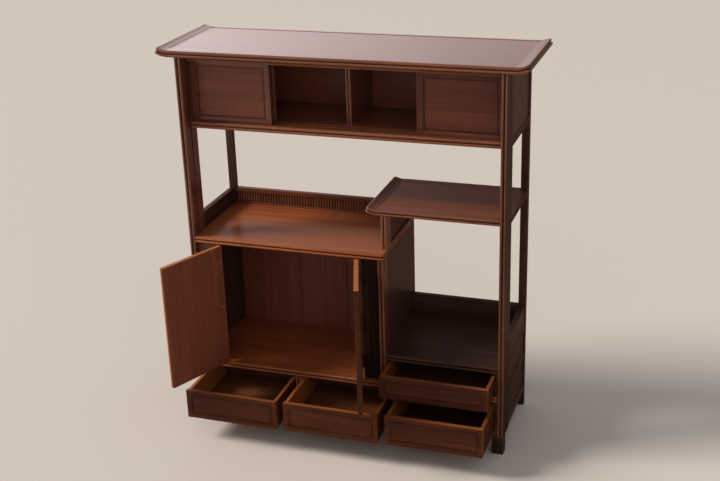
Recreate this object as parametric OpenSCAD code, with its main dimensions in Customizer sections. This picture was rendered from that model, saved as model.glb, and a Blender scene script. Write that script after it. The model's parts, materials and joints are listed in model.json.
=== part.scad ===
/* [Carcass] */
// Width over the front posts
carcass_w = 900; // [860:5:960]
// Depth from the faces of the front posts to the backs of the rear posts
carcass_d = 301; // [292:1:340]
// Thickness of the boards and rails with a doubled bead along their edge
member_t = 18; // [17:0.5:19]
// Width of the groove between the two beads of an edge
bead_gap = 1.2; // [0.6:0.2:2]
// Thickness of the plain panels in the sides and the backs
panel_t = 7; // [5:0.5:9]
// Distance of a side panel behind the outer face of the posts
panel_recess = 4; // [2:0.5:6]

/* [Levels] */
// Height of the feet, up to the bottom of the base rails
foot_h = 50; // [30:1:80]
// Top of the board over the row of three drawers
sill_z = 176; // [168:1:182]
// Top of the floor of the open niche
niche_z = 263; // [256:1:290]
// Top of the left shelf, which is the roof of the cupboard
shelf_z = 560; // [530:1:590]
// Top of the staggered shelf
stagger_z = 672; // [655:1:700]
// Top of the floor of the upper cabinet
upper_z = 883; // [860:1:900]
// Top of the top board
top_z = 1086.5; // [1070:0.5:1110]

/* [Posts] */
// Width of a front post
post_w = 18; // [17:0.5:20]
// Depth of a front post
post_d = 72; // [68:1:76]
// Width of a rear post
rear_post_w = 20.5; // [19:0.5:24]
// Depth of a rear post
rear_post_d = 18; // [16:0.5:22]
// Distance of the middle posts from the outer face of the left post
mid_post_x = 551; // [530:1:565]
// Width of a middle post
mid_post_w = 17; // [15:0.5:19]
// Depth of the middle front post
mid_post_d = 36; // [30:1:45]
// Distance of the upright under the staggered shelf from the front
strut_y = 38; // [30:1:45]
// Depth of the upright under the staggered shelf
strut_d = 34; // [26:1:40]
// Distance of the upright groove in a front post's side from the front
post_groove_y = 31; // [26:0.5:36]
// Width of the upright groove in a post's side
post_groove_w = 6; // [4:0.5:8]
// Depth of the upright groove in a post's side
post_groove_d = 2; // [1:0.5:3]
// Distance from the front at which a front post's side steps back
post_step_y = 64; // [58:0.5:66]
// Width of a front foot
foot_w = 32; // [26:1:36]
// Depth of a front foot
foot_d = 30; // [24:1:40]
// Radius of a front foot's upright edges
foot_r = 2; // [1:0.5:4]

/* [Top board] */
// Overhang of the top board past each front post
top_over = 49; // [40:1:60]
// Overhang of the top board past the front
top_front = 4.5; // [0:0.5:15]
// Overhang of the top board past the rear posts
top_back = 2; // [0:0.5:6]
// Length of the curved stretch at each end of the top board
sweep_run = 35; // [25:1:45]
// Rise of the tip of the top board
sweep_rise = 8; // [4:0.5:12]
// Radius, seen from above, of the moulded corners of the swept ends
corner_r = 9; // [8.5:0.5:11]
// Width of the end pieces of the top board
top_end_w = 25; // [16:1:30]
// Width of the front rail of the top board
top_front_rail = 30.5; // [22:0.5:40]
// Width of the rear rail of the top board
top_rear_rail = 13; // [10:0.5:20]
// Depth of a panel's surface below its frame
panel_sink = 0.8; // [0.4:0.1:2]

/* [Upper cabinet] */
// Distance of the upper cabinet behind the front posts
upper_setback = 38; // [30:1:48]
// Distance of the front track from the front
track_y = 56; // [52:1:60]
// Thickness of a sliding door
slide_t = 12; // [10:0.5:13]
// Width of the ridge between the two tracks
track_ridge = 3.4; // [3:0.1:6]
// Overlap of two sliding doors when they are closed
slide_overlap = 27; // [20:1:34]
// Width of the rails and stiles of a sliding door
slide_rail = 13; // [10:0.5:16]
// Depth of the bottom grooves that the sliding doors run in
track_floor_d = 3; // [2:0.5:4]
// Depth of the top grooves that the sliding doors run in
track_head_d = 6; // [5:0.5:8]
// Thickness of the rail over the sliding doors
head_t = 18; // [14:0.5:20]
// Clearance of a sliding door in its grooves
slide_fit = 0.3; // [0.3:0.05:0.6]
// Distance that each rear sliding door stands short of the post at rest
rear_slide_short = 6.5; // [2:0.5:12]
// Thickness of the partition of the upper cabinet
partition_t = 15; // [12:0.5:18]
// Distance of the partition's edge from the front
partition_y = 104; // [98:1:130]

/* [Shelves] */
// Distance of the left tip of the staggered shelf from the left post
stagger_x = 513; // [500:1:525]
// Distance of the staggered shelf from the front
stagger_y = 36; // [30:1:38]
// Thickness of the staggered shelf
stagger_t = 15.5; // [14:0.5:18]
// Rise of the left tip of the staggered shelf
stagger_rise = 7; // [3:0.5:9]
// Width of the end piece and of the front rail of the staggered shelf
stagger_rail = 28; // [22:1:34]
// Width of the rear rail of the staggered shelf
stagger_rear_rail = 20; // [19:0.5:26]
// Height of the railing over the left shelf
gallery_h = 48; // [36:1:60]
// Height of the rail on top of a railing
gallery_rail_h = 12; // [8:0.5:16]
// Thickness of a railing
gallery_t = 14; // [10:0.5:16]
// Height of the bottom rail of a railing
gallery_foot_h = 5; // [3:0.5:8]
// Distance from one slat of a railing to the next
slat_pitch = 8.4; // [7:0.1:14]
// Width of a slat
slat_w = 3.5; // [3:0.5:6]
// Thickness of a slat
slat_t = 6; // [4:0.5:8]
// Height of the boards round the niche
niche_board_h = 60; // [40:1:80]
// Thickness of the boards round the niche
niche_board_t = 14; // [10:0.5:16]

/* [Cupboard] */
// Width of the fixed strip left of the hinged doors
strip_left_w = 62; // [50:1:75]
// Width of the fixed strip right of the hinged doors
strip_right_w = 49; // [40:1:60]
// Width of the stile that carries the hinges
hinge_stile_w = 16; // [12:1:20]
// Thickness of the hinged doors and the strips beside them
door_t = 14; // [13:0.5:18]
// Distance of the hinged doors behind the fronts of the posts
door_setback = 12; // [6:0.5:16]
// Gap between a hinged door and what is round it
door_gap = 2.2; // [2.2:0.1:3]
// Angle at which the left door stands at rest
door_left_rest = 114; // [90:0.5:118]
// Angle at which the right door stands at rest
door_right_rest = 108.5; // [90:0.5:109.5]
// Width of one board of the cupboard's back
back_board_w = 148; // [120:1:170]
// Depth of the boards of the fixed strips behind their stiles
band_sink = 2; // [1:0.5:3]
// Thickness of the wall between the cupboard and the niche
wall_t = 10; // [8:0.5:14]

/* [Hinges] */
// Length of a hinge
hinge_h = 42; // [30:1:50]
// Height of the middle of the lowest hinges over the cupboard's floor
hinge_low = 57; // [40:1:80]
// Height of the middle of the middle hinges over the cupboard's floor
hinge_middle = 173; // [150:1:200]
// Height of the middle of the highest hinges over the cupboard's floor
hinge_high = 307; // [270:1:320]
// Thickness of a hinge leaf
leaf_t = 0.8; // [0.6:0.1:0.9]
// Width of a hinge leaf
leaf_w = 10; // [8:0.5:12]
// Radius of a hinge knuckle
knuckle_r = 2.6; // [2.2:0.1:3]
// Radius of a hinge pin
hinge_pin_r = 1.2; // [1:0.1:1.5]
// Running clearance between a hinge pin and its knuckle, on the radius
pin_fit = 0.05; // [0.02:0.01:0.1]

/* [Drawers] */
// Width of the uprights between the three bottom drawers
divider_w = 20; // [16:0.5:24]
// Width of the guides beside the outer drawers
cheek_w = 6.25; // [5:0.25:9]
// Gap between a drawer and what is beside it
drawer_gap = 1.25; // [0.75:0.25:2]
// Gap between a drawer front and the board over it
drawer_head_gap = 3.5; // [2:0.5:5]
// Length of a drawer from its face to its back
drawer_len = 268; // [240:1:272]
// Thickness of a drawer front
drawer_front_t = 14; // [12:0.5:18]
// Thickness of the sides and the back of a drawer
drawer_side_t = 9; // [7:0.5:12]
// Thickness of a drawer's bottom
drawer_bottom_t = 5; // [4:0.5:7]
// Distance of a drawer's sides below the top of its front
drawer_side_drop = 4; // [2:0.5:8]
// Distance that the left drawer is pulled out at rest
pull_left = 153; // [100:1:195]
// Distance that the middle drawer is pulled out at rest
pull_middle = 149; // [100:1:195]
// Distance that the right drawer is pulled out at rest
pull_right = 143; // [100:1:195]
// Distance that the upper drawer is pulled out at rest
pull_upper = 87; // [60:1:195]
// Clearance under a drawer and between two parts that slide on each other
seat_gap = 0.3; // [0.3:0.05:0.6]
// Distance of the drawer guides from the front
guide_y0 = 2; // [0:0.5:6]
// Glue line between two boards of a door or a drawer
glue = 0.1; // [0.05:0.01:0.2]

/* [Raised frames] */
// Distance of the raised frame from the edge of a front
ring_inset = 13; // [10:0.5:16]
// Width of the bead of a raised frame
ring_w = 3; // [2:0.5:4]
// Height of the bead of a raised frame
ring_h = 1.5; // [1:0.25:1.5]
// Radius of the corners of a raised frame
ring_r = 6; // [4.5:0.5:8]
// Width of the sunk band inside the bead of a door
band_w = 8; // [5:0.5:10]

/* [Hidden] */
$fn = 48;

// Colours of the lacquer, of the lit inner faces and of the hinges
lacquer = "#5a2a1c";
lacquer_dark = "#3a221c";
inner_wood = "#8a4a26";
brass = "#b08a4a";

// Where the posts end and the spaces between them begin
inner_left = post_w;
inner_right = carcass_w - post_w;
rear_y = carcass_d - rear_post_d;
mid_right = mid_post_x + mid_post_w;
top_under = top_z - member_t;
base_top = foot_h + member_t;
sill_under = sill_z - member_t;
niche_under = niche_z - member_t;
shelf_under = shelf_z - member_t;
stagger_under = stagger_z - stagger_t;
upper_under = upper_z - member_t;
head_under = top_under - head_t;

// Chamfer along the meeting edges of the back boards
chamfer = 1.2;
// How far a cut runs past what it cuts
cut = 1;
// How far an ear of a board reaches into the board
ear_lap = 6;
// Steps in a full turn of a swept end
sweep_steps = 180;

// The beads of an edge: two half rounds with a groove between them
bead_r = (member_t - bead_gap) / 4;
stagger_bead_r = (stagger_t - bead_gap) / 4;

// Sliding doors
slide_open_w = inner_right - inner_left;
slide_w = slide_open_w / 4 + slide_overlap / 2 - slide_fit;
slide_pitch = slide_t + 2 * slide_fit + track_ridge;
slide_z0 = upper_z - track_floor_d + slide_fit;
slide_z1 = head_under + track_head_d / 2;

// Hinged doors
door_open_x0 = inner_left + strip_left_w;
door_open_x1 = mid_post_x - strip_right_w;
door_w = (door_open_x1 - door_open_x0) / 2 - door_gap - door_gap / 4;
door_z0 = sill_z + door_gap;
door_z1 = shelf_under - door_gap;
axis_ahead = knuckle_r + seat_gap;
hinge_axis_y = door_setback - axis_ahead;
knuckle_h = (hinge_h - 2 * seat_gap) / 3;
hinge_levels = [hinge_low, hinge_middle, hinge_high];

// Drawers
drawer_w = (slide_open_w - 2 * cheek_w - 2 * divider_w - 6 * drawer_gap) / 3;
upper_drawer_w = inner_right - mid_right - 2 * cheek_w - 2 * drawer_gap;
drawer_step = drawer_w + divider_w + 2 * drawer_gap;
drawer_x0 = inner_left + cheek_w + drawer_gap;
upper_drawer_x0 = mid_right + cheek_w + drawer_gap;
base_front_d = foot_d;
runner_top = base_top + drawer_gap;
drawer_z0 = runner_top + seat_gap;
drawer_z1 = sill_under - drawer_head_gap;
upper_drawer_z0 = sill_z + seat_gap;
upper_drawer_z1 = niche_under - drawer_head_gap;

// How far forward the inner corner of an open door's free edge stands
function door_tip_y(angle) = hinge_axis_y - (door_w + door_gap / 2) * sin(angle)
    + (door_t + axis_ahead) * cos(angle);

// Front of everything at rest: the tips of the two doors and the longest pull
left_tip_y = door_tip_y(door_left_rest);
right_tip_y = door_tip_y(door_right_rest);
front_y = min(left_tip_y, right_tip_y, -pull_left, -pull_middle, -pull_right, -pull_upper);
middle_y = (front_y + carcass_d + top_back) / 2;

// Puts the model, drawn from the left post's outer face and the posts' fronts, at its origin
module placed() {
    translate([-carcass_w / 2, -middle_y, 0])
        children();
}

// A block between two corners
module block(x0, x1, y0, y1, z0, z1) {
    translate([x0, y0, z0])
        cube([x1 - x0, y1 - y0, z1 - z0]);
}

// Section of a board whose edge at x = 0 has two beads: x is depth and y is height
module beaded_section(d, t, r) {
    translate([r, 0])
        square([d - r, t]);
    for (y = [r, t - r])
        translate([r, y])
            circle(r);
}

// A rail with its beads towards the front, from x0 to x1 and from y0 to y1
module front_rail(x0, x1, y0, y1, z, t = member_t, r = bead_r) {
    translate([x0, y0, z])
        rotate([90, 0, 90])
            linear_extrude(x1 - x0)
                beaded_section(y1 - y0, t, r);
}

// A rail with its beads towards the right, its edge at x1
module right_rail(x0, x1, y0, y1, z, t = member_t, r = bead_r) {
    translate([x1, y0, z])
        rotate([90, 0, 180])
            linear_extrude(y1 - y0)
                beaded_section(x1 - x0, t, r);
}

// An upright with its beads towards the front
module upright(x0, w, y0, d, z0, z1) {
    translate([x0, y0, z0])
        mirror([0, 1, 0])
            rotate([0, 0, -90])
                linear_extrude(z1 - z0)
                    beaded_section(d, w, (w - bead_gap) / 4);
}

// A cut in both sides of an upright, between two depths
module side_cuts(x0, w, y0, y1, z0, z1) {
    for (x = [x0 - post_groove_d, x0 + w - post_groove_d])
        block(x, x + 2 * post_groove_d, y0, y1, z0 - cut, z1 + cut);
}

// A front post: a groove in each side, and a step towards its back
module front_post(x0) {
    difference() {
        upright(x0, post_w, 0, post_d, foot_h, top_under);
        side_cuts(x0, post_w, post_groove_y, post_groove_y + post_groove_w, foot_h, top_under);
        side_cuts(x0, post_w, post_step_y, post_d + cut, foot_h, top_under);
    }
}

// A middle upright with a groove along the middle of each side
module grooved_upright(x0, w, y0, d, z0, z1) {
    groove_y = y0 + (d - post_groove_w) / 2;
    difference() {
        upright(x0, w, y0, d, z0, z1);
        side_cuts(x0, w, groove_y, groove_y + post_groove_w, z0, z1);
    }
}

// A rectangle with round corners, its corner at the origin
module round_rect(w, h, r) {
    translate([r, 0])
        square([w - 2 * r, h]);
    translate([0, r])
        square([w, h - 2 * r]);
    for (x = [r, w - r], y = [r, h - r])
        translate([x, y])
            circle(r);
}

// A raised frame of half-round bead on a front that faces -Y, its back at y
module ring(x0, x1, y, z0, z1, w, proud) {
    translate([x0, y, z0])
        rotate([90, 0, 0])
            linear_extrude(proud)
                difference() {
                    round_rect(x1 - x0, z1 - z0, ring_r);
                    translate([w, w])
                        round_rect(x1 - x0 - 2 * w, z1 - z0 - 2 * w, max(ring_r - w, ring_h));
                }
}

// A front board with a sunk band and a bead round it; the face lies at y0 + ring_h
module moulded_front(x0, x1, y0, t, z0, z1, band = 0) {
    difference() {
        block(x0, x1, y0 + ring_h, y0 + t, z0, z1);
        if (band > 0)
            ring(x0 + ring_inset + ring_w, x1 - ring_inset - ring_w, y0 + 2 * ring_h,
                z0 + ring_inset + ring_w, z1 - ring_inset - ring_w, band, ring_h);
    }
    ring(x0 + ring_inset, x1 - ring_inset, y0 + 2 * ring_h,
        z0 + ring_inset, z1 - ring_inset, ring_w, 2 * ring_h);
}

// Angle and radius of the bend of a board that curves up and ends in a moulded edge
function bend_angle(run, rise) = 2 * atan(rise / (run + corner_r));
function bend_radius(run, rise) =
    (run - corner_r * cos(bend_angle(run, rise))) / sin(bend_angle(run, rise));

// A solid bent about an axis along Y, its section given as thickness by depth
module bent(radius, angle, d) {
    translate([0, d, radius])
        rotate([90, 0, 0])
            rotate([0, 0, -90 - angle])
                rotate_extrude(angle = angle, $fn = sweep_steps)
                    translate([radius, 0])
                        children();
}

// Round corner of a moulded edge, about its own centre, towards -X and +Y
module tip_corner(t, r) {
    mirror([1, 0, 0])
        rotate_extrude(angle = 90)
            translate([corner_r, 0])
                mirror([1, 0])
                    beaded_section(corner_r, t, r);
}

// Moulded edge at the tip of a bent board: a straight piece and two round corners
module moulded_tip(t, d, r) {
    translate([-corner_r, d - corner_r - glue, -t])
        rotate([90, 0, 0])
            linear_extrude(d - 2 * corner_r - 2 * glue)
                beaded_section(corner_r, t, r);
    translate([0, d - corner_r, -t])
        tip_corner(t, r);
    translate([0, corner_r, -t])
        mirror([0, 1, 0])
            tip_corner(t, r);
}

// The moulded edge put at the tip of a bent board
module tip_of_bend(run, rise, t, d, r) {
    radius = bend_radius(run, rise);
    translate([0, 0, radius])
        rotate([0, bend_angle(run, rise), 0])
            translate([-glue, 0, -radius])
                moulded_tip(t, d, r);
}

// Board that curves up at its end. It starts at the origin, its top at z = 0, and runs towards -X.
module bent_board(run, rise, t, d, r) {
    bent(bend_radius(run, rise), bend_angle(run, rise), d) {
        translate([0, r])
            square([t, d - 2 * r]);
        for (x = [r, t - r], y = [r, d - r])
            translate([x, y])
                circle(r);
    }
}

// A piece of the left end, put at the right end instead
module on_right() {
    translate([carcass_w, 0, 0])
        mirror([1, 0, 0])
            children();
}

// A piece of the left end, at both ends
module both_ends() {
    children();
    on_right()
        children();
}

flat_x0 = sweep_run - top_over;
flat_x1 = carcass_w - flat_x0;
top_y0 = -top_front;
top_y1 = carcass_d + top_back;
panel_y0 = top_y0 + top_front_rail;
panel_y1 = top_y1 - top_rear_rail;

module top_rails() color(lacquer) placed() {
    front_rail(flat_x0, flat_x1, top_y0, panel_y0, top_under);
    translate([0, top_y1 + panel_y1, 0])
        mirror([0, 1, 0])
            front_rail(flat_x0, flat_x1, panel_y1, top_y1, top_under);
}

// The left end of the top board: it takes up the line of the panel as far as its own edge
module top_end() {
    d = top_y1 - top_y0;
    radius = bend_radius(sweep_run, sweep_rise);
    rebate_angle = asin((sweep_run - top_end_w) / radius);
    translate([flat_x0, top_y0, top_z]) {
        difference() {
            bent_board(sweep_run, sweep_rise, member_t, d, bead_r);
            translate([0, panel_y1 - top_y0, radius])
                rotate([90, 0, 0])
                    rotate([0, 0, -90 - rebate_angle])
                        rotate_extrude(angle = 2 * rebate_angle, $fn = sweep_steps)
                            translate([radius - sweep_rise, 0])
                                square([sweep_rise + panel_sink, panel_y1 - panel_y0]);
        }
        tip_of_bend(sweep_run, sweep_rise, member_t, d, bead_r);
    }
}
module top_end_left() color(lacquer) placed()
    top_end();
module top_end_right() color(lacquer) placed()
    on_right()
        top_end();
module top_panel() color(lacquer) placed()
    block(flat_x0, flat_x1, panel_y0, panel_y1, top_under, top_z - panel_sink);

module post_front_left() color(lacquer) placed()
    front_post(0);
module post_front_right() color(lacquer) placed()
    front_post(carcass_w - post_w);
module rear_post(x0) {
    block(x0, x0 + rear_post_w, rear_y, carcass_d, 0, top_under);
}
module post_rear_left() color(lacquer_dark) placed()
    rear_post(0);
module post_rear_right() color(lacquer_dark) placed()
    rear_post(carcass_w - rear_post_w);
module feet_front() color(lacquer_dark) placed()
    for (x = [0, carcass_w - foot_w])
        translate([x, 0, 0])
            linear_extrude(foot_h)
                round_rect(foot_w, foot_d, foot_r);
module post_mid_front() color(lacquer) placed()
    grooved_upright(mid_post_x, mid_post_w, 0, mid_post_d, sill_z, shelf_under);
module post_mid_rear() color(lacquer_dark) placed()
    block(mid_post_x, mid_right, rear_y, carcass_d, sill_z, stagger_under);
module strut_upper() color(lacquer) placed()
    grooved_upright(mid_post_x, mid_post_w, strut_y, strut_d, shelf_z, stagger_under);

// An ear of a board between the front and the rear post, its beads outwards.
// It reaches into the board by lap, which makes the two one piece.
module right_ear(z_top, t, r, lap) {
    right_rail(inner_right - lap, carcass_w, post_d, rear_y, z_top - t, t, r);
}
module left_ear(z_top, t, r, lap) {
    on_right()
        right_ear(z_top, t, r, lap);
}

// A board between two distances from the left, notched round the rear posts' width
module board(x0, x1, y0, z_top, rear_x0, rear_x1) {
    front_rail(x0, x1, y0, rear_y, z_top - member_t);
    front_rail(rear_x0, rear_x1, y0, carcass_d, z_top - member_t);
}

// A board over the whole width, notched round the four posts
module full_board(y0, z_top) {
    board(inner_left, inner_right, y0, z_top, rear_post_w, carcass_w - rear_post_w);
    left_ear(z_top, member_t, bead_r, ear_lap);
    right_ear(z_top, member_t, bead_r, ear_lap);
}

// The upper cabinet and its tracks
back_in = (rear_post_d - panel_t) / 2;
back_y0 = rear_y + back_in;
back_y1 = back_y0 + panel_t;
groove_w = slide_t + 2 * slide_fit;
tracks = [track_y - slide_fit, track_y - slide_fit + groove_w + track_ridge];
head_y1 = tracks[1] + groove_w + track_ridge;
head_bead_r = (head_t - bead_gap) / 4;

module track_grooves(z0, z1) {
    for (y = tracks)
        block(inner_left - cut, inner_right + cut, y, y + groove_w, z0, z1);
}
module upper_floor() color(lacquer) placed()
    difference() {
        full_board(upper_setback, upper_z);
        intersection() {
            track_grooves(upper_z - track_floor_d, upper_z + cut);
            block(inner_left, inner_right, 0, carcass_d, upper_under, upper_z + cut);
        }
    }
module upper_head() color(lacquer) placed()
    difference() {
        front_rail(inner_left, inner_right, upper_setback, head_y1, head_under, head_t, head_bead_r);
        track_grooves(head_under - cut, head_under + track_head_d);
    }
module upper_back() color(inner_wood) placed()
    block(rear_post_w, carcass_w - rear_post_w, back_y0, back_y1, upper_z, top_under);

// A panel between a front and a rear post; x0 is its outer face
module side_panel(z0, z1) {
    block(panel_recess, panel_recess + panel_t, post_d, rear_y, z0, z1);
}
module upper_sides() color(lacquer_dark) placed()
    both_ends()
        side_panel(upper_z, top_under);
module partition() color(lacquer) placed()
    upright((carcass_w - partition_t) / 2, partition_t, partition_y, back_y0 - partition_y,
        upper_z, top_under);

// Sliding doors: i counts from the left, the outer two in the front track
slide_rest = [0, rear_slide_short, -rear_slide_short, 0];
function slide_x0(i) = (i < 2 ? inner_left + slide_fit : inner_right - slide_fit - slide_w) + slide_rest[i];
function slide_y0(i) = track_y + (i == 0 || i == 3 ? 0 : slide_pitch);

module slide_frame(i) {
    x0 = slide_x0(i);
    x1 = x0 + slide_w;
    y0 = slide_y0(i);
    for (x = [x0, x1 - slide_rail])
        block(x, x + slide_rail, y0, y0 + slide_t, slide_z0, slide_z1);
    for (z = [slide_z0, slide_z1 - slide_rail])
        block(x0 + slide_rail + glue, x1 - slide_rail - glue, y0, y0 + slide_t, z, z + slide_rail);
}
module slide_panel(i) {
    x0 = slide_x0(i) + slide_rail + glue;
    x1 = slide_x0(i) + slide_w - slide_rail - glue;
    z0 = slide_z0 + slide_rail + glue;
    z1 = slide_z1 - slide_rail - glue;
    y0 = slide_y0(i) + ring_h;
    block(x0, x1, y0 + 2 * ring_h, y0 + panel_t, z0, z1);
    block(x0 + band_w, x1 - band_w, y0 + ring_h, y0 + 2 * ring_h + glue, z0 + band_w, z1 - band_w);
    ring(x0, x1, y0 + 2 * ring_h + glue, z0, z1, ring_w, 2 * ring_h + glue);
}
module slide_frame_1() color(lacquer) placed() slide_frame(0);
module slide_panel_1() color(lacquer) placed() slide_panel(0);
module slide_frame_2() color(lacquer) placed() slide_frame(1);
module slide_panel_2() color(lacquer) placed() slide_panel(1);
module slide_frame_3() color(lacquer) placed() slide_frame(2);
module slide_panel_3() color(lacquer) placed() slide_panel(2);
module slide_frame_4() color(lacquer) placed() slide_frame(3);
module slide_panel_4() color(lacquer) placed() slide_panel(3);

// The left shelf, beaded along its front and its right edge
module left_shelf() color(lacquer) placed() {
    difference() {
        intersection() {
            front_rail(inner_left, mid_right, 0, carcass_d, shelf_under);
            right_rail(inner_left, mid_right, 0, carcass_d, shelf_under);
        }
        block(0, rear_post_w, rear_y, carcass_d + cut, shelf_under - cut, shelf_z + cut);
        block(mid_post_x, mid_right + cut, rear_y, carcass_d + cut, shelf_under - cut, shelf_z + cut);
    }
    left_ear(shelf_z, member_t, bead_r, ear_lap);
}

// Railings: a top and a bottom rail with slats between them
gallery_z = shelf_z + gallery_h;
gallery_y0 = rear_y + (rear_post_d - gallery_t) / 2;
slat_z0 = shelf_z + gallery_foot_h;
slat_count = floor((mid_post_x - rear_post_w) / slat_pitch);
slat_x0 = (rear_post_w + mid_post_x - (slat_count - 1) * slat_pitch - slat_w) / 2;

module gallery_back() color(lacquer) placed() {
    block(rear_post_w, mid_post_x, gallery_y0, gallery_y0 + gallery_t,
        gallery_z - gallery_rail_h, gallery_z);
    block(rear_post_w, mid_post_x, gallery_y0, gallery_y0 + gallery_t, shelf_z, slat_z0);
    block(rear_post_w, mid_post_x, gallery_y0 + (gallery_t + slat_t) / 2, gallery_y0 + gallery_t,
        slat_z0 - gallery_foot_h / 2, gallery_z - gallery_rail_h / 2);
}
module gallery_slats() color(lacquer_dark) placed()
    for (i = [0 : slat_count - 1])
        block(slat_x0 + i * slat_pitch, slat_x0 + i * slat_pitch + slat_w,
            gallery_y0 + (gallery_t - slat_t) / 2, gallery_y0 + (gallery_t + slat_t) / 2,
            slat_z0, gallery_z - gallery_rail_h);
module gallery_left() color(lacquer) placed() {
    x0 = (post_w - gallery_t) / 2;
    block(x0, x0 + gallery_t, post_d, rear_y, gallery_z - gallery_rail_h, gallery_z);
    block(x0 + gallery_t / 2 - slat_t / 2, x0 + gallery_t / 2 + slat_t / 2, post_d, rear_y,
        shelf_z, gallery_z);
    block(x0, x0 + gallery_t, post_d, rear_y, shelf_z, slat_z0);
}

// The staggered shelf: swept left end, front, right and rear rails round a panel
stagger_flat_x0 = stagger_x + stagger_rail;
stagger_panel_y0 = stagger_y + stagger_rail;
stagger_panel_y1 = carcass_d - stagger_rear_rail;
stagger_panel_x1 = inner_right - stagger_rail / 2;

module stagger_end() color(lacquer) placed()
    translate([stagger_flat_x0, stagger_y, stagger_z]) {
        bent_board(stagger_rail, stagger_rise, stagger_t, carcass_d - stagger_y, stagger_bead_r);
        tip_of_bend(stagger_rail, stagger_rise, stagger_t, carcass_d - stagger_y, stagger_bead_r);
    }
module stagger_outline() {
    difference() {
        front_rail(stagger_flat_x0, inner_right, stagger_y, carcass_d, stagger_under,
            stagger_t, stagger_bead_r);
        block(carcass_w - rear_post_w, carcass_w, rear_y, carcass_d + cut,
            stagger_under - cut, stagger_z + cut);
    }
    right_ear(stagger_z, stagger_t, stagger_bead_r, ear_lap);
}
module stagger_hole(z0, z1) {
    block(stagger_flat_x0, stagger_panel_x1, stagger_panel_y0, stagger_panel_y1, z0, z1);
}
module stagger_frame() color(lacquer) placed()
    difference() {
        stagger_outline();
        stagger_hole(stagger_under - cut, stagger_z + cut);
    }
module stagger_panel() color(lacquer) placed()
    stagger_hole(stagger_under, stagger_z - panel_sink);

// Railing between the upright and the rear post under the staggered shelf
side_slat_y0 = strut_y + strut_d;
side_slat_count = floor((rear_y - side_slat_y0) / slat_pitch);
side_rail_z = stagger_under - member_t;

module stagger_gallery() color(lacquer_dark) placed() {
    x0 = mid_post_x + (mid_post_w - gallery_t) / 2;
    first = (side_slat_y0 + rear_y - (side_slat_count - 1) * slat_pitch - slat_w) / 2;
    block(x0, x0 + gallery_t, side_slat_y0, rear_y, side_rail_z - gallery_rail_h, side_rail_z);
    block(x0, x0 + gallery_t, side_slat_y0, rear_y, shelf_z, slat_z0);
    for (i = [0 : side_slat_count - 1])
        block(x0 + gallery_t / 2 - slat_t / 2, x0 + gallery_t / 2 + slat_t / 2,
            first + i * slat_pitch, first + i * slat_pitch + slat_w,
            slat_z0 - gallery_foot_h / 2, side_rail_z - gallery_rail_h / 2);
}

// The lower cabinet
module cabinet_floor() color(lacquer) placed()
    full_board(0, sill_z);

// Three back boards with chamfered meeting edges, the middle one back_board_w wide
back_left = rear_post_w;
back_mid = (rear_post_w + mid_post_x) / 2;
module back_board(x0, x1) {
    translate([0, 0, sill_z])
        linear_extrude(shelf_under - sill_z)
            polygon([
                [x0, back_y1], [x0, back_y0 + chamfer], [x0 + chamfer, back_y0],
                [x1 - chamfer, back_y0], [x1, back_y0 + chamfer], [x1, back_y1]
            ]);
}
module cabinet_back() color(inner_wood) placed() {
    back_board(back_left, back_mid - back_board_w / 2 - glue);
    back_board(back_mid - back_board_w / 2, back_mid + back_board_w / 2);
    back_board(back_mid + back_board_w / 2 + glue, mid_post_x);
}
module drawer_backs() color(inner_wood) placed() {
    block(rear_post_w, carcass_w - rear_post_w, back_y0, back_y1, base_top, sill_under);
    block(mid_right, carcass_w - rear_post_w, back_y0, back_y1, sill_z, niche_under);
}
module cabinet_side_left() color(lacquer_dark) placed() {
    side_panel(sill_z, shelf_under);
    side_panel(base_top, sill_under);
}
module cabinet_side_right() color(lacquer_dark) placed()
    block(mid_right - wall_t, mid_right, mid_post_d, rear_y, sill_z, shelf_under);
module side_lower_right() color(lacquer_dark) placed()
    on_right() {
        side_panel(sill_z, niche_under);
        side_panel(base_top, sill_under);
    }

// Fixed strips beside the hinged doors: a stile with the hinges and a sunk board
module strip(stile_x0, x0, x1) {
    y0 = door_setback;
    block(stile_x0, stile_x0 + hinge_stile_w, y0, y0 + door_t, sill_z, shelf_under);
    block(x0, x1, y0 + ring_h + band_sink, y0 + door_t - ring_h, sill_z, shelf_under);
}
module strip_left() color(lacquer) placed()
    strip(door_open_x0 - hinge_stile_w, inner_left, door_open_x0);
module strip_right() color(lacquer) placed()
    strip(door_open_x1, door_open_x1, mid_post_x);

// The niche
module niche_floor() color(lacquer) placed() {
    board(mid_right, inner_right, 0, niche_z, mid_right, carcass_w - rear_post_w);
    right_ear(niche_z, member_t, bead_r, ear_lap);
}
module niche_back() color(lacquer) placed()
    block(mid_right, carcass_w - rear_post_w, rear_y + (rear_post_d - niche_board_t) / 2,
        rear_y + (rear_post_d + niche_board_t) / 2, niche_z, niche_z + niche_board_h);
module niche_side() color(lacquer) placed()
    on_right()
        block((post_w - niche_board_t) / 2, (post_w + niche_board_t) / 2, post_d, rear_y,
            niche_z, niche_z + niche_board_h);

// The base and the uprights between the drawers
module base_rails() color(lacquer) placed() {
    front_rail(inner_left, inner_right, 0, base_front_d, foot_h);
    block(rear_post_w, carcass_w - rear_post_w, rear_y, carcass_d, foot_h, base_top);
    right_ear(base_top, member_t, bead_r, 0);
    left_ear(base_top, member_t, bead_r, 0);
}
module drawer_dividers() color(lacquer) placed()
    for (i = [0, 1]) {
        x0 = drawer_x0 + drawer_w + drawer_gap + i * drawer_step;
        upright(x0, divider_w, 0, base_front_d, base_top, sill_under);
        block(x0, x0 + divider_w, base_front_d / 2, rear_y, runner_top, sill_under);
    }

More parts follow.
